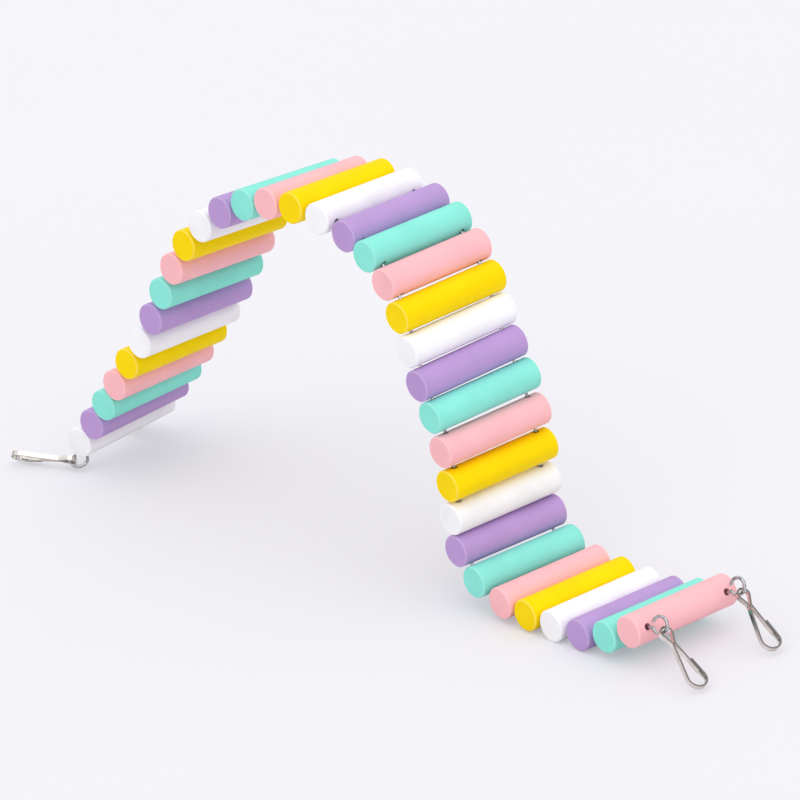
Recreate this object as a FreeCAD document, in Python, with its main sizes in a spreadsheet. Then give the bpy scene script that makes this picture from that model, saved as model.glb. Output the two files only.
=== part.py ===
import FreeCAD
import Part
import Sketcher
import math
import os
from FreeCAD import Placement, Rotation, Vector

# Flexible ladder bridge for a small pet's cage: round painted wooden rungs threaded crosswise on
# two steel wires and bent into an arch, with a spring hook on the eye at each end of each wire.
# Frame: +X along the run to the right foot, +Y along the rungs to the far side, +Z up, origin on
# the floor under the middle of the whole part. Millimetres.

doc = FreeCAD.newDocument("ladder_bridge")
sizes = doc.addObject("Spreadsheet::Sheet", "sizes")

driving_sizes = [
    ("rung_count", 34),
    ("rung_diameter", 15),
    ("rung_length", 60),
    ("end_chamfer", 0.6),
    ("wire_diameter", 1.6),
    ("wire_inset", 5.75),
    ("hole_play", 1.7),
    ("eye_radius", 3.9),
    ("eye_neck_radius", 1.3),
    ("eye_end_gap", 0.4),
    ("strip_width", 2.3),
    ("strip_thickness", 0.9),
    ("bow_radius", 2.8),
    ("bow_play", 0.6),
    ("waist_reach", 7.0),
    ("waist_gap", 0.3),
    ("waist_radius", 1.6),
    ("belly_radius", 4.6),
    ("hook_reach", 31.0),
    ("nose_length", 9.5),
    ("nose_gap", 0.2),
    ("tongue_width", 1.0),
    ("tongue_length", 5.4),
    ("slot_play", 0.3),
]
for row, (name, value) in enumerate(driving_sizes, start=1):
    sizes.set("A" + str(row), name)
    sizes.set("B" + str(row), str(value))
    sizes.setAlias("B" + str(row), name)
doc.recompute()


def size(name):
    return float(sizes.get(name))


rung_count = int(size("rung_count"))
rung_radius = size("rung_diameter") / 2
wire_diameter = size("wire_diameter")
wire_radius = wire_diameter / 2
wire_reach = size("rung_length") / 2 - size("wire_inset")

# How the bridge is bent, from the left foot to the right: rungs in the stretch, the gap between
# them, and the turn from each to the next in degrees.
first_heading = 47.9
stretches = [
    {"rungs": 3, "gap": 0.6, "turn": 2.0},
    {"rungs": 2, "gap": 1.7, "turn": -0.3},
    {"rungs": 2, "gap": 2.0, "turn": 4.0},
    {"rungs": 2, "gap": 1.9, "turn": -2.2},
    {"rungs": 3, "gap": 2.2, "turn": -10.1},
    {"rungs": 2, "gap": 1.7, "turn": -8.6},
    {"rungs": 2, "gap": 2.3, "turn": -10.6},
    {"rungs": 1, "gap": 0.7, "turn": -7.0},
    {"rungs": 2, "gap": 0.9, "turn": -17.9},
    {"rungs": 1, "gap": 0.6, "turn": -10.5},
    {"rungs": 2, "gap": 0.6, "turn": 1.5},
    {"rungs": 3, "gap": 1.5, "turn": -8.4},
    {"rungs": 1, "gap": 0.7, "turn": 6.0},
    {"rungs": 1, "gap": 1.1, "turn": 32.0},
    {"rungs": 1, "gap": 1.9, "turn": 30.5},
    {"rungs": 1, "gap": 0.7, "turn": 15.0},
    {"rungs": 2, "gap": 1.0, "turn": 3.0},
    {"rungs": 2, "gap": 1.2, "turn": 11.6},
]

# How far the bridge sways sideways and fans: rung, sideways shift in millimetres, then the rung's
# turn seen from above and its tilt, both in degrees.
sways = [
    {"rung": 1, "shift": -3.2, "yaw": 5.4, "tilt": 0.2},
    {"rung": 5, "shift": -1.5, "yaw": 3.2, "tilt": -2.4},
    {"rung": 9, "shift": 0.5, "yaw": 1.7, "tilt": -4.0},
    {"rung": 13, "shift": 3.2, "yaw": 1.3, "tilt": -4.7},
    {"rung": 17, "shift": 4.3, "yaw": 0.6, "tilt": -1.7},
    {"rung": 22, "shift": -0.8, "yaw": -3.7, "tilt": 2.5},
    {"rung": 27, "shift": -0.3, "yaw": -4.0, "tilt": 0.0},
    {"rung": 31, "shift": 0.8, "yaw": -4.2, "tilt": 0.2},
    {"rung": 34, "shift": 2.2, "yaw": -1.7, "tilt": -1.4},
]

# How far the run's direction droops at the first and the last rung, in degrees.
left_droop = 8
right_droop = 12


def sway_at(number):
    for before, after in zip(sways, sways[1:]):
        if number <= after["rung"]:
            share = (number - before["rung"]) / (after["rung"] - before["rung"])
            return [before[key] + share * (after[key] - before[key]) for key in ("shift", "yaw", "tilt")]
    return [sways[-1][key] for key in ("shift", "yaw", "tilt")]


def lay_out_rungs():
    # Middles and long directions of all the rungs, before the whole is set on the floor.
    heading = math.radians(first_heading)
    x = 0.0
    z = 0.0
    middles = []
    steps = [stretch for stretch in stretches for _ in range(round(stretch["rungs"]))]
    for number in range(1, rung_count + 1):
        shift, yaw, tilt = sway_at(number)
        yaw = math.radians(yaw)
        tilt = math.radians(tilt)
        along = Vector(-math.sin(yaw) * math.cos(tilt), math.cos(yaw) * math.cos(tilt), math.sin(tilt))
        middles.append((Vector(x, shift, z), along))
        if number == rung_count:
            break
        step = steps[min(number, len(steps)) - 1]
        if number > 1:
            heading += math.radians(step["turn"])
        x += (2 * rung_radius + step["gap"]) * math.cos(heading)
        z += (2 * rung_radius + step["gap"]) * math.sin(heading)
    return middles


rungs = lay_out_rungs()


def direction(start, end):
    return (end - start).normalize()


def droop_at(index):
    if index == 0:
        return -left_droop
    if index == rung_count - 1:
        return right_droop
    return 0


def run_at(index, route):
    # Direction of the run at a rung, square to the rung, from the points before and after it.
    along = rungs[index][1]
    run = direction(route[max(index - 1, 0)], route[min(index + 1, rung_count - 1)])
    run = (run - along * run.dot(along)).normalize()
    return Rotation(along, droop_at(index) / 2).multVec(run)


exit_radius = 0.85 * wire_diameter
exit_reach = rung_radius + exit_radius


def exit_point(index, route):
    # Where the wire bends just outside the first or the last rung.
    outward = Rotation(rungs[index][1], droop_at(index) / 2).multVec(run_at(index, route))
    if index == 0:
        outward = -outward
    return route[index] + outward * exit_reach


bend_share = 0.45
flat_turn = 0.004


def bend_radius(before, corner, after):
    # The bend at a rung takes up an even share of the way to the nearer neighbour.
    half_turn = max(direction(before, corner).getAngle(direction(corner, after)), flat_turn) / 2
    return bend_share * min(corner.distanceToPoint(before), corner.distanceToPoint(after)) / math.tan(half_turn)


def stand_off(before, corner, after):
    # The wire bends inside its hole, so the corner of its route stands off on the outside of the
    # bend, which centres the bend in the hole.
    incoming = direction(before, corner)
    outgoing = direction(corner, after)
    half_turn = incoming.getAngle(outgoing) / 2
    if half_turn < flat_turn:
        return Vector()
    radius = bend_radius(before, corner, after)
    middle_rise = radius * (1 / math.cos(half_turn) - 1)
    end_rise = radius - math.sqrt(max(radius**2 - rung_radius**2, 0))
    return (incoming - outgoing).normalize() * (middle_rise + end_rise / 2)


def thread_route(side):
    # Corners of a wire's route, one in each rung. Each depends a little on its neighbours, so they
    # settle over a few rounds.
    places = [middle + along * (side * wire_reach) for middle, along in rungs]
    route = places
    for _ in range(8):
        points = [exit_point(0, route)] + route + [exit_point(rung_count - 1, route)]
        route = [place + stand_off(*points[index:index + 3]) for index, place in enumerate(places)]
    return route


routes = {side: thread_route(side) for side in (-1, 1)}


def travel_at(index):
    # Direction of a rung's holes.
    return (run_at(index, routes[-1]) + run_at(index, routes[1])).normalize()


def frame_of(origin, x_direction, y_direction):
    # Placement with its own X and Y along the two directions.
    z_direction = x_direction.cross(y_direction)
    return Placement(origin, Rotation(x_direction, y_direction, z_direction, "ZXY"))


def bind(feature, name, formula):
    feature.setExpression(name, formula)


def new_body(name):
    body = doc.addObject("PartDesign::Body", name)
    body.Label = name
    return body


def plane_of(body, role):
    return next(item for item in body.Origin.OriginFeatures if item.Role == role)


def new_sketch(body, name, role):
    sketch = body.newObject("Sketcher::SketchObject", name)
    sketch.AttachmentSupport = [(plane_of(body, role), "")]
    sketch.MapMode = "FlatFace"
    return sketch


def make_rung(name):
    # Round bar along Y with its end edges broken and two cross holes along X for the wires.
    body = new_body(name)
    end = new_sketch(body, name + "_end", "XZ_Plane")
    end.addGeometry(Part.Circle(Vector(0, 0, 0), Vector(0, 0, 1), rung_radius), False)
    end.addConstraint(Sketcher.Constraint("Coincident", 0, 3, -1, 1))
    bar_size = end.addConstraint(Sketcher.Constraint("Diameter", 0, 2 * rung_radius))
    bind(end, "Constraints[" + str(bar_size) + "]", "sizes.rung_diameter")
    bar = body.newObject("PartDesign::Pad", name + "_bar")
    bar.Profile = end
    bar.SideType = "Symmetric"
    bind(bar, "Length", "sizes.rung_length")
    soft = body.newObject("PartDesign::Chamfer", name + "_broken_ends")
    soft.Base = (bar, ["Edge1", "Edge3"])
    bind(soft, "Size", "sizes.end_chamfer")
    holes = new_sketch(body, name + "_hole_places", "YZ_Plane")
    for side in (-1, 1):
        circle = holes.addGeometry(Part.Circle(Vector(side * wire_reach, 0, 0), Vector(0, 0, 1), wire_radius))
        holes.addConstraint(Sketcher.Constraint("PointOnObject", circle, 3, -1))
        place = holes.addConstraint(Sketcher.Constraint("DistanceX", -1, 1, circle, 3, side * wire_reach))
        bore = holes.addConstraint(Sketcher.Constraint("Diameter", circle, 2 * wire_radius))
        reach = "(sizes.rung_length / 2 - sizes.wire_inset)"
        bind(holes, "Constraints[" + str(place) + "]", str(side) + " * " + reach)
        bind(holes, "Constraints[" + str(bore) + "]", "sizes.wire_diameter + sizes.hole_play")
    drill = body.newObject("PartDesign::Pocket", name + "_holes")
    drill.Profile = holes
    drill.SideType = "Symmetric"
    drill.Type = "Length"
    bind(drill, "Length", "sizes.rung_diameter * 1.2")
    body.Tip = drill
    return body


def round_corner(before, corner, after, radius):
    # Tangent points of the arc that rounds a corner of a route, with its middle point.
    incoming = direction(before, corner)
    outgoing = direction(corner, after)
    half_turn = incoming.getAngle(outgoing) / 2
    reach = radius * math.tan(half_turn)
    start = corner - incoming * reach
    end = corner + outgoing * reach
    inward = (outgoing - incoming).normalize()
    middle = corner + inward * (radius * (1 / math.cos(half_turn) - 1))
    return start, middle, end


def route_edges(points, radii):
    # Straight runs joined by tangent arcs.
    edges = []
    reached = points[0]
    for before, corner, after, radius in zip(points, points[1:], points[2:], radii):
        if radius is None:
            radius = bend_radius(before, corner, after)
        start, middle, end = round_corner(before, corner, after, radius)
        edges.append(Part.makeLine(reached, start))
        edges.append(Part.Arc(start, middle, end).toShape())
        reached = end
    edges.append(Part.makeLine(reached, points[-1]))
    return edges


def arc_from(place, start_angle, sweep, centre, radius):
    # Arc in the X-Y plane of a placement.
    points = []
    for share in (0, 0.5, 1):
        angle = start_angle + share * sweep
        flat = centre + Vector(math.cos(angle), math.sin(angle), 0) * radius
        points.append(place.multVec(flat))
    return Part.Arc(*points).toShape()


eye_radius = size("eye_radius")
neck_radius = size("eye_neck_radius")
neck_turn = math.acos(neck_radius / (neck_radius + eye_radius))
eye_reach = (neck_radius + eye_radius) * math.sin(neck_turn)


def eye_edges(place):
    # An eye on the end of the wire: the wire swings aside round a small neck and comes back in a
    # ring that is centred on its own line, its end close beside the shank. The route starts at
    # the placement's origin along X.
    neck_centre = Vector(0, -neck_radius, 0)
    ring_centre = Vector(eye_reach, 0, 0)
    ring_start = math.pi + (math.pi / 2 - neck_turn)
    clear = 2 * wire_radius + size("eye_end_gap")
    ring_end = 3 * math.pi - math.asin(clear / eye_radius)
    neck = arc_from(place, math.pi / 2, -neck_turn, neck_centre, neck_radius)
    ring = arc_from(place, ring_start, ring_end - ring_start, ring_centre, eye_radius)
    return [neck, ring]


# How each corner lies, seen from its own end: the hook's heading from above and its dip, the turn
# of the hook about its own length, the lean of the eye about the same line, how far round the eye
# the hook has slid from straight ahead, all in degrees, and the straight wire before the eye.
corners = {
    "right_near": {
        "end": -1, "side": -1, "heading": -8, "dip": 36, "roll": -3, "lean": 68, "slide": 60, "shank": 0.4,
    },
    "right_far": {
        "end": -1, "side": 1, "heading": -13, "dip": 36, "roll": -3, "lean": 68, "slide": 80, "shank": 0.5,
    },
    "left_near": {
        "end": 0, "side": -1, "heading": -153, "dip": 0, "roll": 222, "lean": -70, "slide": -104, "shank": 1.5,
    },
    "left_far": {
        "end": 0, "side": 1, "heading": 170, "dip": 0, "roll": 222, "lean": -70, "slide": -90, "shank": 1.5,
    },
}


def hook_axes(corner):
    # The hook's length and breadth directions.
    heading = math.radians(corner["heading"])
    dip = math.radians(corner["dip"])
    length = Vector(math.cos(heading) * math.cos(dip), math.sin(heading) * math.cos(dip), -math.sin(dip))
    level = Vector(-math.sin(heading), math.cos(heading), 0)
    breadth = Rotation(length, corner["roll"]).multVec(level)
    return length, breadth


def eye_axes(corner):
    # The direction of the eye's shank, and the direction across it in the plane of the eye.
    length, breadth = hook_axes(corner)
    across = Rotation(length, corner["lean"]).multVec(breadth)
    normal = length.cross(across)
    turn = Rotation(normal, corner["slide"])
    return turn.multVec(length), turn.multVec(across)


def wire_end(corner):
    # Where the corner's wire bends just outside its last rung.
    return exit_point(corner["end"] % rung_count, routes[corner["side"]])


def eye_place(corner):
    # The eye starts where the wire is straight again after its bend outside the rung.
    shank, across = eye_axes(corner)
    end = wire_end(corner)
    last_thread = routes[corner["side"]][corner["end"]]
    bend = direction(last_thread, end).getAngle(shank)
    room = exit_radius * math.tan(bend / 2) + wire_diameter / 20
    start = end + shank * max(corner["shank"], room)
    return frame_of(start, shank, across)


def hook_pivot(corner):
    # Middle of the eye's wire where the hook hangs on it.
    length, _ = hook_axes(corner)
    ring_centre = eye_place(corner).multVec(Vector(eye_reach, 0, 0))
    return ring_centre + length * eye_radius


def make_wire(name, side):
    left = next(c for c in corners.values() if c["end"] == 0 and c["side"] == side)
    right = next(c for c in corners.values() if c["end"] == -1 and c["side"] == side)
    left_eye = eye_place(left)
    right_eye = eye_place(right)
    points = [left_eye.Base, wire_end(left)] + routes[side] + [wire_end(right), right_eye.Base]
    radii = [exit_radius] + [None] * rung_count + [exit_radius]
    edges = list(reversed(eye_edges(left_eye))) + route_edges(points, radii) + eye_edges(right_eye)
    path = Part.Wire(Part.__sortEdges__(edges))
    first = path.OrderedEdges[0]
    start = first.valueAt(first.FirstParameter)
    heading = first.tangentAt(first.FirstParameter)
    if path.OrderedVertexes[0].Point.distanceToPoint(start) > 0.001:
        start = first.valueAt(first.LastParameter)
        heading = first.tangentAt(first.LastParameter)
    section = Part.Wire([Part.makeCircle(wire_radius, start, heading)])
    feature = doc.addObject("Part::Feature", name)
    feature.Label = name
    feature.Shape = path.makePipeShell([section], True, False, 1)
    return feature


def belt(pins):
    # Tangent route round a row of pins in a plane, like a belt: each pin is (x, y, radius, way),
    # way +1 to pass with the pin on the left and -1 with it on the right, radius 0 for an end.
    # Returns the straight and round pieces in order.
    lines = []
    for (x1, y1, r1, w1), (x2, y2, r2, w2) in zip(pins, pins[1:]):
        gap = Vector(x2 - x1, y2 - y1, 0)
        offset = math.asin((w2 * r2 - w1 * r1) / gap.Length)
        heading = math.atan2(gap.y, gap.x) - offset
        right = Vector(math.sin(heading), -math.cos(heading), 0)
        start = Vector(x1, y1, 0) + right * (w1 * r1)
        end = Vector(x2, y2, 0) + right * (w2 * r2)
        lines.append((start, end, heading))
    pieces = []
    for index, (start, end, heading) in enumerate(lines):
        pieces.append(("run", start, end, heading))
        if index + 1 < len(lines):
            x, y, radius, way = pins[index + 1]
            turn = (lines[index + 1][2] - heading) % (2 * math.pi)
            if way < 0:
                turn -= 2 * math.pi
            first = math.atan2(end.y - y, end.x - x)
            pieces.append(("bend", Vector(x, y, 0), radius, way, first, turn))
    return pieces


def offset_edges(pieces, offset):
    # The same route moved to its left by an offset.
    edges = []
    for piece in pieces:
        if piece[0] == "run":
            _, start, end, heading = piece
            left = Vector(-math.sin(heading), math.cos(heading), 0) * offset
            edges.append(Part.LineSegment(start + left, end + left))
        else:
            _, centre, radius, way, first, turn = piece
            reach = radius - way * offset
            points = []
            for share in (0, 0.5, 1):
                angle = first + share * turn
                points.append(centre + Vector(math.cos(angle), math.sin(angle), 0) * reach)
            edges.append(Part.Arc(*points))
    return edges


def ribbon(pieces, thickness):
    # Closed outline of a strip of even thickness along a route.
    left = offset_edges(pieces, thickness / 2)
    right = offset_edges(pieces, -thickness / 2)
    ends = [
        Part.LineSegment(right[0].StartPoint, left[0].StartPoint),
        Part.LineSegment(left[-1].EndPoint, right[-1].EndPoint),
    ]
    return [ends[0]] + left + [ends[1]] + right


def tongue_reach():
    # How far past the middle of the belly the tongue's tip comes, in the thickness of the wall.
    return 0.6 * size("belly_radius")


def hook_pins():
    # Pins that the hook's strip is bent round, with the eye's wire at the origin and the hook's
    # far end along X: gate tip, waist, bow round the eye, waist, belly and the tip of the nose.
    thickness = size("strip_thickness")
    bow_x = size("bow_radius") - thickness / 2 - wire_radius - size("bow_play")
    waist_y = (size("waist_gap") + thickness) / 2 + size("waist_radius")
    belly_x = size("hook_reach") - thickness / 2 - size("belly_radius")
    nose_y = size("belly_radius")
    step = thickness + size("nose_gap")
    slope = (nose_y - step - waist_y + size("waist_radius")) / (belly_x - size("waist_reach"))
    nose_drop = slope * size("nose_length")
    gate_tip = (belly_x + tongue_reach(), nose_y - step + slope * tongue_reach(), 0, 1)
    waist_pin = size("waist_radius")
    return [
        gate_tip,
        (size("waist_reach"), waist_y, waist_pin, -1),
        (bow_x, 0, size("bow_radius"), 1),
        (size("waist_reach"), -waist_y, waist_pin, -1),
        (belly_x, 0, size("belly_radius"), 1),
        (belly_x - size("nose_length"), nose_y - nose_drop, 0, 1),
    ]


def make_hook(name, corner):
    # A bent strip whose springy end narrows to a tongue that catches in a slot in the hook's wall.
    body = new_body(name)
    thickness = size("strip_thickness")
    pieces = belt(hook_pins())
    _, tip, end, heading = pieces[0]
    back = direction(tip, end)
    shoulder = tip + back * size("tongue_length")
    pieces[0] = ("run", shoulder, end, heading)
    outline = new_sketch(body, name + "_outline", "XY_Plane")
    outline.addGeometry(ribbon(pieces, thickness), False)
    strip = body.newObject("PartDesign::Pad", name + "_strip")
    strip.Profile = outline
    strip.SideType = "Symmetric"
    bind(strip, "Length", "sizes.strip_width")
    inside = tip + back * tongue_reach()
    outside = tip - back * tongue_reach()
    opening = new_sketch(body, name + "_opening", "XY_Plane")
    opening.addGeometry(ribbon([("run", outside, inside, heading)], thickness + 2 * size("slot_play")), False)
    slot = body.newObject("PartDesign::Pocket", name + "_slot")
    slot.Profile = opening
    slot.SideType = "Symmetric"
    slot.Type = "Length"
    bind(slot, "Length", "sizes.tongue_width + 2 * sizes.slot_play")
    narrow = new_sketch(body, name + "_narrow_end", "XY_Plane")
    narrow.addGeometry(ribbon([("run", tip, shoulder + back * thickness, heading)], thickness), False)
    tongue = body.newObject("PartDesign::Pad", name + "_tongue")
    tongue.Profile = narrow
    tongue.SideType = "Symmetric"
    bind(tongue, "Length", "sizes.tongue_width")
    body.Tip = tongue
    length, breadth = hook_axes(corner)
    body.Placement = frame_of(hook_pivot(corner), length, breadth)
    return body


parts = []
for number in range(1, rung_count + 1):
    rung = make_rung("rung_" + str(number).zfill(2))
    middle, along = rungs[number - 1]
    rung.Placement = frame_of(middle, travel_at(number - 1), along)
    parts.append(rung)
parts.append(make_wire("wire_near", -1))
parts.append(make_wire("wire_far", 1))
for corner_name, corner in corners.items():
    parts.append(make_hook("hook_" + corner_name, corner))
doc.recompute()

# The whole part is set down on the floor, with the origin under its middle.
whole = FreeCAD.BoundBox()
for part in parts:
    whole.add(part.Shape.optimalBoundingBox(False, False))
set_down = Vector(-whole.Center.x, -whole.Center.y, -whole.ZMin)
for part in parts:
    part.Placement = Placement(set_down, Rotation()).multiply(part.Placement)
doc.recompute()

for item in doc.Objects:
    if "Invalid" in item.State or "Error" in item.State:
        raise RuntimeError(item.Label + " could not be rebuilt")
for part in parts:
    if part.Shape.isNull() or not part.Shape.isValid():
        raise RuntimeError(part.Label + " has no sound shape")

os.makedirs("parts", exist_ok=True)
for part in parts:
    part.Shape.exportStep("parts/" + part.Label + ".step")
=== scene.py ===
import math
import bpy
import numpy
from mathutils import Matrix, Vector

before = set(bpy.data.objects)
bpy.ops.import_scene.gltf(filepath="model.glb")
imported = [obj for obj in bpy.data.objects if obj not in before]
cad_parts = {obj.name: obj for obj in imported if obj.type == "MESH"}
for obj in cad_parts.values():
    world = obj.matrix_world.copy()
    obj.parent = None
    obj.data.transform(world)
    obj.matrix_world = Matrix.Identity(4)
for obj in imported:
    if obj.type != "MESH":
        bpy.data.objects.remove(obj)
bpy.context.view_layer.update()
print("frame loaded")

black = (0, 0, 0)
white = (1, 1, 1)


def newMaterial(name):
    material = bpy.data.materials.new(name)
    material.use_nodes = True
    tree = material.node_tree
    shader = tree.nodes["Principled BSDF"]
    return material, tree, shader


def addNoise(tree, coords, scale, detail, stretch=white):
    mapping = tree.nodes.new("ShaderNodeMapping")
    mapping.inputs["Scale"].default_value = stretch
    noise = tree.nodes.new("ShaderNodeTexNoise")
    noise.inputs["Scale"].default_value = scale
    noise.inputs["Detail"].default_value = detail
    tree.links.new(coords, mapping.inputs["Vector"])
    tree.links.new(mapping.outputs["Vector"], noise.inputs["Vector"])
    return noise.outputs["Fac"]


def addRamp(tree, value, stops):
    # Colours along a value, from two or more stops of a position and a colour.
    ramp = tree.nodes.new("ShaderNodeValToRGB")
    elements = ramp.color_ramp.elements
    for index, (position, colour) in enumerate(stops):
        element = elements[index] if index < 2 else elements.new(position)
        element.position = position
        element.color = (*colour, 1)
    tree.links.new(value, ramp.inputs["Fac"])
    return ramp.outputs["Color"]


def addTones(tree, value, dark, light):
    return addRamp(tree, value, [(0.3, dark), (0.7, light)])


def addBump(tree, shader, value, strength, height):
    bump = tree.nodes.new("ShaderNodeBump")
    bump.inputs["Strength"].default_value = strength
    bump.inputs["Distance"].default_value = height
    tree.links.new(value, bump.inputs["Height"])
    tree.links.new(bump.outputs["Normal"], shader.inputs["Normal"])


def addMath(tree, operation, value):
    step = tree.nodes.new("ShaderNodeMath")
    step.operation = operation
    tree.links.new(value, step.inputs[0])
    return step


def addCover(tree, under, colour, share):
    # A plain colour laid over another, where the share says so.
    mix = tree.nodes.new("ShaderNodeMix")
    mix.data_type = "RGBA"
    mix.inputs["B"].default_value = (*colour, 1)
    tree.links.new(share, mix.inputs["Factor"])
    tree.links.new(under, mix.inputs["A"])
    return mix.outputs["Result"]


def dress(obj, material):
    obj.data.materials.clear()
    obj.data.materials.append(material)


paintColours = {
    "pink": (0.985, 0.505, 0.535),
    "teal": (0.265, 0.81, 0.69),
    "purple": (0.50, 0.325, 0.64),
    "white": (0.94, 0.935, 0.95),
    "yellow": (0.985, 0.70, 0.0015),
}
# From the last rung backwards the colours repeat in this order.
colourOrder = ["pink", "teal", "purple", "white", "yellow"]
paint = {
    "roughness": 0.45,
    "specular": 0.05,
    "darker": 0.05,
    "lighter": 0.03,
    "lightest": 0.99,
    "mottleScale": 60,
    "mottleDetail": 3,
    "grainScale": 900,
    "grainDetail": 4,
    "grainStretch": (1, 0.09, 1),
    "bump": 0.05,
    "bumpHeight": 0.0004,
    # Share and tone of the painted highlight on the rungs' end chamfers.
    "highlightShare": 0.08,
    "highlightTone": 0.97,
}
# Painted highlight on the chamfers at the rungs' ends, which face halfway between along and across.
highlightStops = [(0.45, black), (0.55, white), (0.85, white), (0.92, black)]


# Mask for the painted highlight on the rungs' end chamfers.
def paintedHighlightMask(tree):
    geometry = tree.nodes.new("ShaderNodeNewGeometry")
    facing = tree.nodes.new("ShaderNodeSeparateXYZ")
    tree.links.new(geometry.outputs["True Normal"], facing.inputs["Vector"])
    along = addMath(tree, "ABSOLUTE", facing.outputs["Y"])
    return addRamp(tree, along.outputs["Value"], highlightStops)


def paintedWood(name, colour):
    # Satin paint over turned wood: a faint mottle, a grain along the rung, and a painted highlight
    # on the end chamfers.
    material, tree, shader = newMaterial(name)
    coords = tree.nodes.new("ShaderNodeTexCoord").outputs["Object"]
    mottle = addNoise(tree, coords, paint["mottleScale"], paint["mottleDetail"])
    grain = addNoise(tree, coords, paint["grainScale"], paint["grainDetail"], paint["grainStretch"])
    dark = tuple(c * (1 - paint["darker"]) for c in colour)
    light = tuple(min(c * (1 + paint["lighter"]), paint["lightest"]) for c in colour)
    highlightColour = tuple(c + (paint["highlightTone"] - c) * paint["highlightShare"] for c in colour)
    tones = addTones(tree, mottle, dark, light)
    coat = addCover(tree, tones, highlightColour, paintedHighlightMask(tree))
    tree.links.new(coat, shader.inputs["Base Color"])
    addBump(tree, shader, grain, paint["bump"], paint["bumpHeight"])
    shader.inputs["Roughness"].default_value = paint["roughness"]
    shader.inputs["Specular IOR Level"].default_value = paint["specular"]
    return material


paints = {name: paintedWood("paint_" + name, colour) for name, colour in paintColours.items()}
rungs = sorted(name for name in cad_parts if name.startswith("rung"))
for place, name in enumerate(reversed(rungs)):
    dress(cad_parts[name], paints[colourOrder[place % len(colourOrder)]])
print("rungs painted")

metalMarks = {"detail": 4, "fineDetail": 3, "finer": 6, "bump": 0.08, "bumpHeight": 0.0002}
wireSteel = {
    "dark": (0.30, 0.30, 0.31),
    "light": (0.66, 0.66, 0.67),
    "roughness": 0.2,
    "toneScale": 500,
}
plating = {
    "dark": (0.66, 0.62, 0.585),
    "light": (0.88, 0.82, 0.765),
    "roughness": 0.08,
    "toneScale": 260,
    # Colour of the painted dark reflection on the strip's cut edges.
    "cutEdgeReflection": (0.24, 0.225, 0.215),
}
# How squarely a face has to look across the strip to count as a cut edge, which gets a painted dark
# reflection.
reflectionStops = [(0.7, black), (0.9, white)]


def metal(name, look):
    # Metal with faint drawing marks and a slightly uneven tone.
    material, tree, shader = newMaterial(name)
    coords = tree.nodes.new("ShaderNodeTexCoord").outputs["Object"]
    tone = addNoise(tree, coords, look["toneScale"], metalMarks["detail"])
    marks = addNoise(tree, coords, look["toneScale"] * metalMarks["finer"], metalMarks["fineDetail"])
    tones = addTones(tree, tone, look["dark"], look["light"])
    tree.links.new(tones, shader.inputs["Base Color"])
    addBump(tree, shader, marks, metalMarks["bump"], metalMarks["bumpHeight"])
    shader.inputs["Metallic"].default_value = 1.0
    shader.inputs["Roughness"].default_value = look["roughness"]
    return material


def acrossStrip(hook):
    # The way across the hook's strip, in which its points spread least.
    points = numpy.array([vertex.co for vertex in hook.data.vertices])
    spreads, ways = numpy.linalg.eigh(numpy.cov(points.T))
    return ways[:, 0]


def paintEdgeReflection(material, hook):
    # Painted dark reflection: the strip's cut edges are coloured darker than its rolled faces.
    tree = material.node_tree
    baseColour = tree.nodes["Principled BSDF"].inputs["Base Color"]
    coords = tree.nodes.new("ShaderNodeTexCoord")
    facing = tree.nodes.new("ShaderNodeVectorMath")
    facing.operation = "DOT_PRODUCT"
    facing.inputs[1].default_value = acrossStrip(hook)
    tree.links.new(coords.outputs["Normal"], facing.inputs[0])
    squareness = addMath(tree, "ABSOLUTE", facing.outputs["Value"])
    reflectionMask = addRamp(tree, squareness.outputs["Value"], reflectionStops)
    rolled = baseColour.links[0].from_socket
    tree.links.new(addCover(tree, rolled, plating["cutEdgeReflection"], reflectionMask), baseColour)


wireLook = metal("wire_steel", wireSteel)
for name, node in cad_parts.items():
    if name.startswith("wire"):
        dress(node, wireLook)
    elif name.startswith("hook"):
        hookLook = metal(name.replace("hook", "hook_plating"), plating)
        paintEdgeReflection(hookLook, node)
        dress(node, hookLook)
print("wires and hooks finished")

floorLook = {
    "size": 16.0,
    "colour": (0.80, 0.79, 0.825),
    "unevenness": 0.01,
    "toneScale": 3,
    "toneDetail": 2,
    "roughness": 0.9,
    "glow": (0.905, 0.9, 0.945),
    "glowShare": 0.33,
}


def makeFloorPaper():
    material, tree, shader = newMaterial("floor_paper")
    coords = tree.nodes.new("ShaderNodeTexCoord").outputs["Object"]
    tone = addNoise(tree, coords, floorLook["toneScale"], floorLook["toneDetail"])
    colour = floorLook["colour"]
    tones = addTones(tree, tone, tuple(c * (1 - floorLook["unevenness"]) for c in colour), colour)
    tree.links.new(tones, shader.inputs["Base Color"])
    shader.inputs["Roughness"].default_value = floorLook["roughness"]
    # A share of its own light, seen by the camera alone, keeps the shadows faint.
    path = tree.nodes.new("ShaderNodeLightPath")
    share = addMath(tree, "MULTIPLY", path.outputs["Is Camera Ray"])
    share.inputs[1].default_value = floorLook["glowShare"]
    glow = tree.nodes.new("ShaderNodeEmission")
    glow.inputs["Color"].default_value = (*floorLook["glow"], 1)
    both = tree.nodes.new("ShaderNodeMixShader")
    tree.links.new(share.outputs["Value"], both.inputs["Fac"])
    tree.links.new(shader.outputs["BSDF"], both.inputs[1])
    tree.links.new(glow.outputs["Emission"], both.inputs[2])
    tree.links.new(both.outputs["Shader"], tree.nodes["Material Output"].inputs["Surface"])
    return material


def makeFloor():
    half = floorLook["size"] / 2
    corners = [(-half, -half, 0), (half, -half, 0), (half, half, 0), (-half, half, 0)]
    mesh = bpy.data.meshes.new("floor")
    mesh.from_pydata(corners, [], [(0, 1, 2, 3)])
    floor = bpy.data.objects.new("floor", mesh)
    bpy.context.collection.objects.link(floor)
    dress(floor, makeFloorPaper())


makeFloor()

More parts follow.
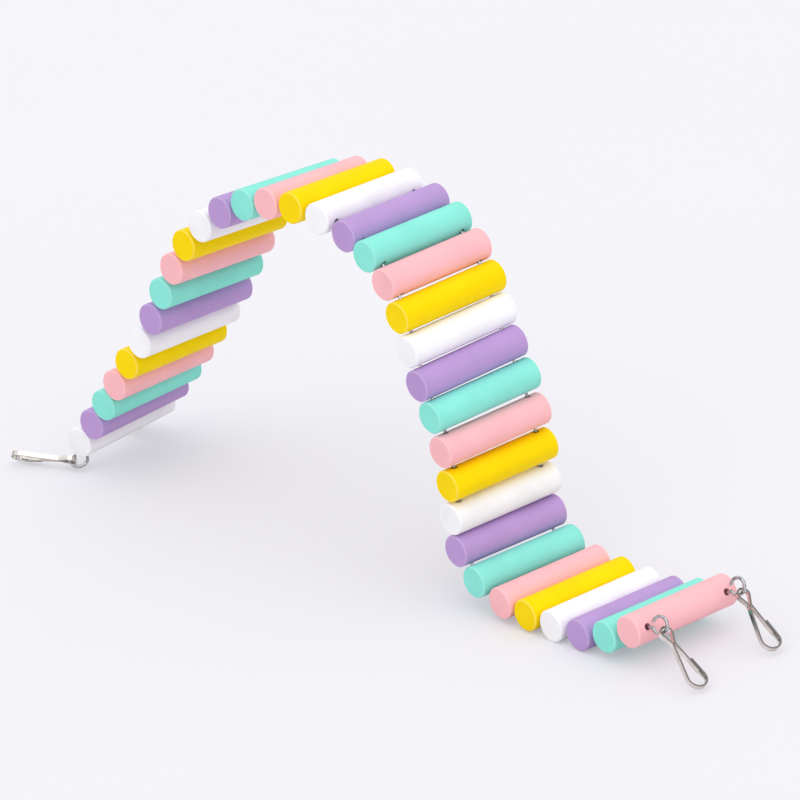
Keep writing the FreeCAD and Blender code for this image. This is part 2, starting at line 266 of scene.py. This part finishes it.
dome = {
    "strength": 1.02,
    "horizon": (0.08, 0.08, 0.08),
    "horizonHeight": 0.02,
    "sky": (0.985, 0.985, 1.0),
    "skyHeight": 0.34,
    "backdrop": (0.90, 0.893, 0.937),
}
keyLight = {"strength": 0.82, "softness": 95, "aim": (-0.5, 0.35, -0.72)}


def makeDome():
    # A white dome with a dark band along the horizon, which only the metal and the undersides
    # see, and which the camera sees as plain pale paper.
    world = bpy.data.worlds.new("studio")
    world.use_nodes = True
    tree = world.node_tree
    background = tree.nodes["Background"]
    coords = tree.nodes.new("ShaderNodeTexCoord")
    place = tree.nodes.new("ShaderNodeSeparateXYZ")
    path = tree.nodes.new("ShaderNodeLightPath")
    tree.links.new(coords.outputs["Generated"], place.inputs["Vector"])
    stops = [(dome["horizonHeight"], dome["horizon"]), (dome["skyHeight"], dome["sky"])]
    light = addRamp(tree, place.outputs["Z"], stops)
    seen = addCover(tree, light, dome["backdrop"], path.outputs["Is Camera Ray"])
    tree.links.new(seen, background.inputs["Color"])
    background.inputs["Strength"].default_value = dome["strength"]
    bpy.context.scene.world = world


def makeKeyLight():
    # One broad soft light from the near right.
    lamp = bpy.data.lights.new("key", "SUN")
    lamp.energy = keyLight["strength"]
    lamp.angle = math.radians(keyLight["softness"])
    key = bpy.data.objects.new("key", lamp)
    key.rotation_euler = Vector(keyLight["aim"]).to_track_quat("-Z", "Y").to_euler()
    bpy.context.collection.objects.link(key)


makeDome()
makeKeyLight()

# Turn round the object, height and roll are in degrees, the rest in metres but for the film,
# which is in millimetres, and the focal length, which is in film widths.
view = {
    "turn": 48.318,
    "height": 23.443,
    "roll": -4.942,
    "target": (0.0209, 0.00304, 0.07912),
    "distance": 3.009,
    "farthest": 20,
    "film": 36,
    "focalLength": 8.289625,
}


def makeCamera():
    turn = math.radians(view["turn"])
    height = math.radians(view["height"])
    level = math.cos(height)
    forward = Vector((-math.sin(turn) * level, math.cos(turn) * level, -math.sin(height)))
    right = Vector((math.cos(turn), math.sin(turn), 0))
    up = right.cross(forward)
    rotation = Matrix((right, up, -forward)).transposed().to_4x4()
    roll = Matrix.Rotation(math.radians(view["roll"]), 4, "Z")
    place = Vector(view["target"]) - forward * view["distance"]
    camera = bpy.data.cameras.new("camera")
    camera.sensor_width = view["film"]
    camera.lens = view["film"] * view["focalLength"]
    camera.clip_end = view["farthest"]
    obj = bpy.data.objects.new("camera", camera)
    obj.matrix_world = Matrix.Translation(place) @ rotation @ roll
    bpy.context.collection.objects.link(obj)
    bpy.context.scene.camera = obj


makeCamera()
bpy.context.scene.view_settings.view_transform = "Standard"
print("stage, lights and camera ready")
